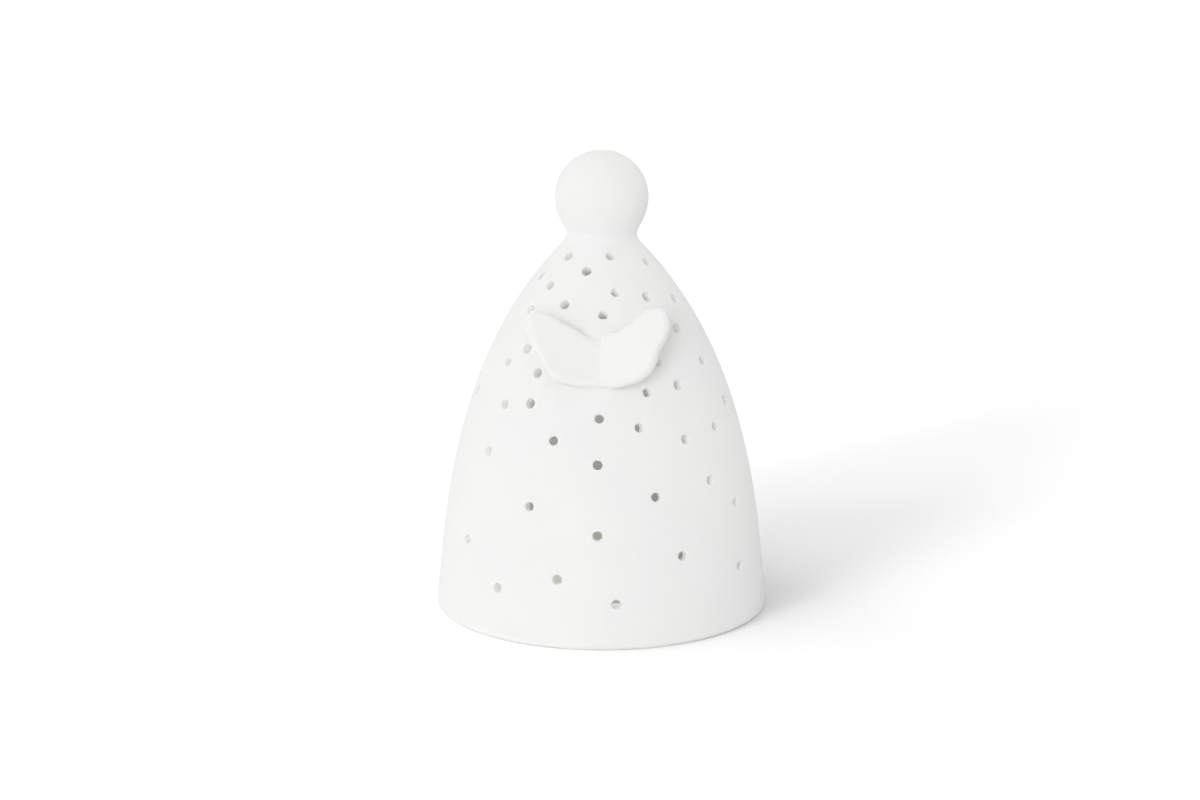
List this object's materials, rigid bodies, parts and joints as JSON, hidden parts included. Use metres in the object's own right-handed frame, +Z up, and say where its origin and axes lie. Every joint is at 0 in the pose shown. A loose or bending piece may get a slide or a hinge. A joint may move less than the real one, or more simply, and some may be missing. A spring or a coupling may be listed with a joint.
{
  "type": "light-up figure",
  "caption": "Hollow pierced porcelain angel with a ball head and folded wings, lit from inside by a push-in lamp with a slide switch and a coin cell.",
  "frame": {"origin": "centre of the base, on the plane that the foot ring stands on", "axes": "+Z up along the bell's axis; -Y is the angel's back, where the wings are and where the picture was taken from; +X is to the right in that view"},
  "size_m": [0.08, 0.08, 0.11],
  "materials": {
    "porcelain": "matt unglazed bisque, white",
    "silicone": "translucent white, satin",
    "housing": "fine moulded texture, white",
    "board": "green solder mask over glass laminate",
    "lens": "clear cast resin, warm tint",
    "switch": "black, satin",
    "contact": "nickel-plated strip, bright",
    "steel": "zinc-plated, satin"
  },
  "bodies": {
    "figure": {"porcelain_shell": "porcelain", "left_wing": "porcelain", "right_wing": "porcelain"},
    "light_unit": {"grip_ring": "silicone", "lamp_base": "housing", "lamp_cover": "housing", "cover_screw_1": "steel", "cover_screw_2": "steel", "circuit_board": "board", "led_body": "lens", "led_anode_lead": "steel", "led_cathode_lead": "steel", "switch_body": "switch", "positive_contact": "contact", "negative_contact": "contact"},
    "slider": {"switch_slider": "switch"},
    "door": {"battery_door": "housing", "door_screw": "steel"},
    "cell": {"coin_cell": "contact"}
  },
  "joints": [
    {"name": "light_unit_pull", "type": "slide", "parent": "figure", "child": "light_unit", "axis": [0, 0, -1], "range_m": [0, 0.06]},
    {"name": "switch_slide", "type": "slide", "parent": "light_unit", "child": "slider", "axis": [1, 0, 0], "range_m": [0, 0.002]},
    {"name": "battery_door_lift", "type": "slide", "parent": "light_unit", "child": "door", "axis": [0, 0, -1], "range_m": [0, 0.024]},
    {"name": "coin_cell_drop", "type": "slide", "parent": "light_unit", "child": "cell", "axis": [0, 0, -1], "range_m": [0, 0.012]}
  ],
  "couplings": [
    {"joint": "coin_cell_drop", "follows": "battery_door_lift", "ratio": 0.5}
  ]
}
